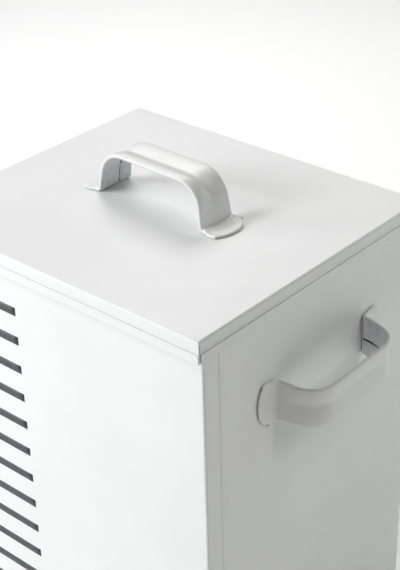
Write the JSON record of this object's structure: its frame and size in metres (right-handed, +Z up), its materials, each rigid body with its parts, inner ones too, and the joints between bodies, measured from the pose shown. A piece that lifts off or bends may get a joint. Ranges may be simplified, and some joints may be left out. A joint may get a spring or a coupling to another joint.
{
  "type": "lidded sheet-steel storage box",
  "caption": "Tall rectangular sheet-steel storage box with a lift-off lid, a pressed bow handle on the lid and a matching one on each side, painted white.",
  "frame": {"origin": "on the standing plane, under the middle of the lid and of the two side handles", "axes": "+Z up, +Y to the back, +X to the right as seen from the front"},
  "size_m": [0.3142, 0.2226, 0.3503],
  "materials": {
    "lid_coat": "satin white powder coat with fine orange peel",
    "body_coat": "satin white powder coat with fine orange peel",
    "handle_coat": "semi-gloss white powder coat over pressed steel"
  },
  "bodies": {
    "body": {"front_panel": "body_coat", "back_panel": "body_coat", "left_side_panel": "body_coat", "right_side_panel": "body_coat", "base_pan": "body_coat", "left_side_handle": "handle_coat", "right_side_handle": "handle_coat"},
    "lid": {"lid_pan": "lid_coat", "lid_handle": "handle_coat"}
  },
  "joints": [
    {"name": "lid_lift", "type": "slide", "parent": "body", "child": "lid", "axis": [0, 0, 1], "range_m": [0, 0.15]}
  ]
}
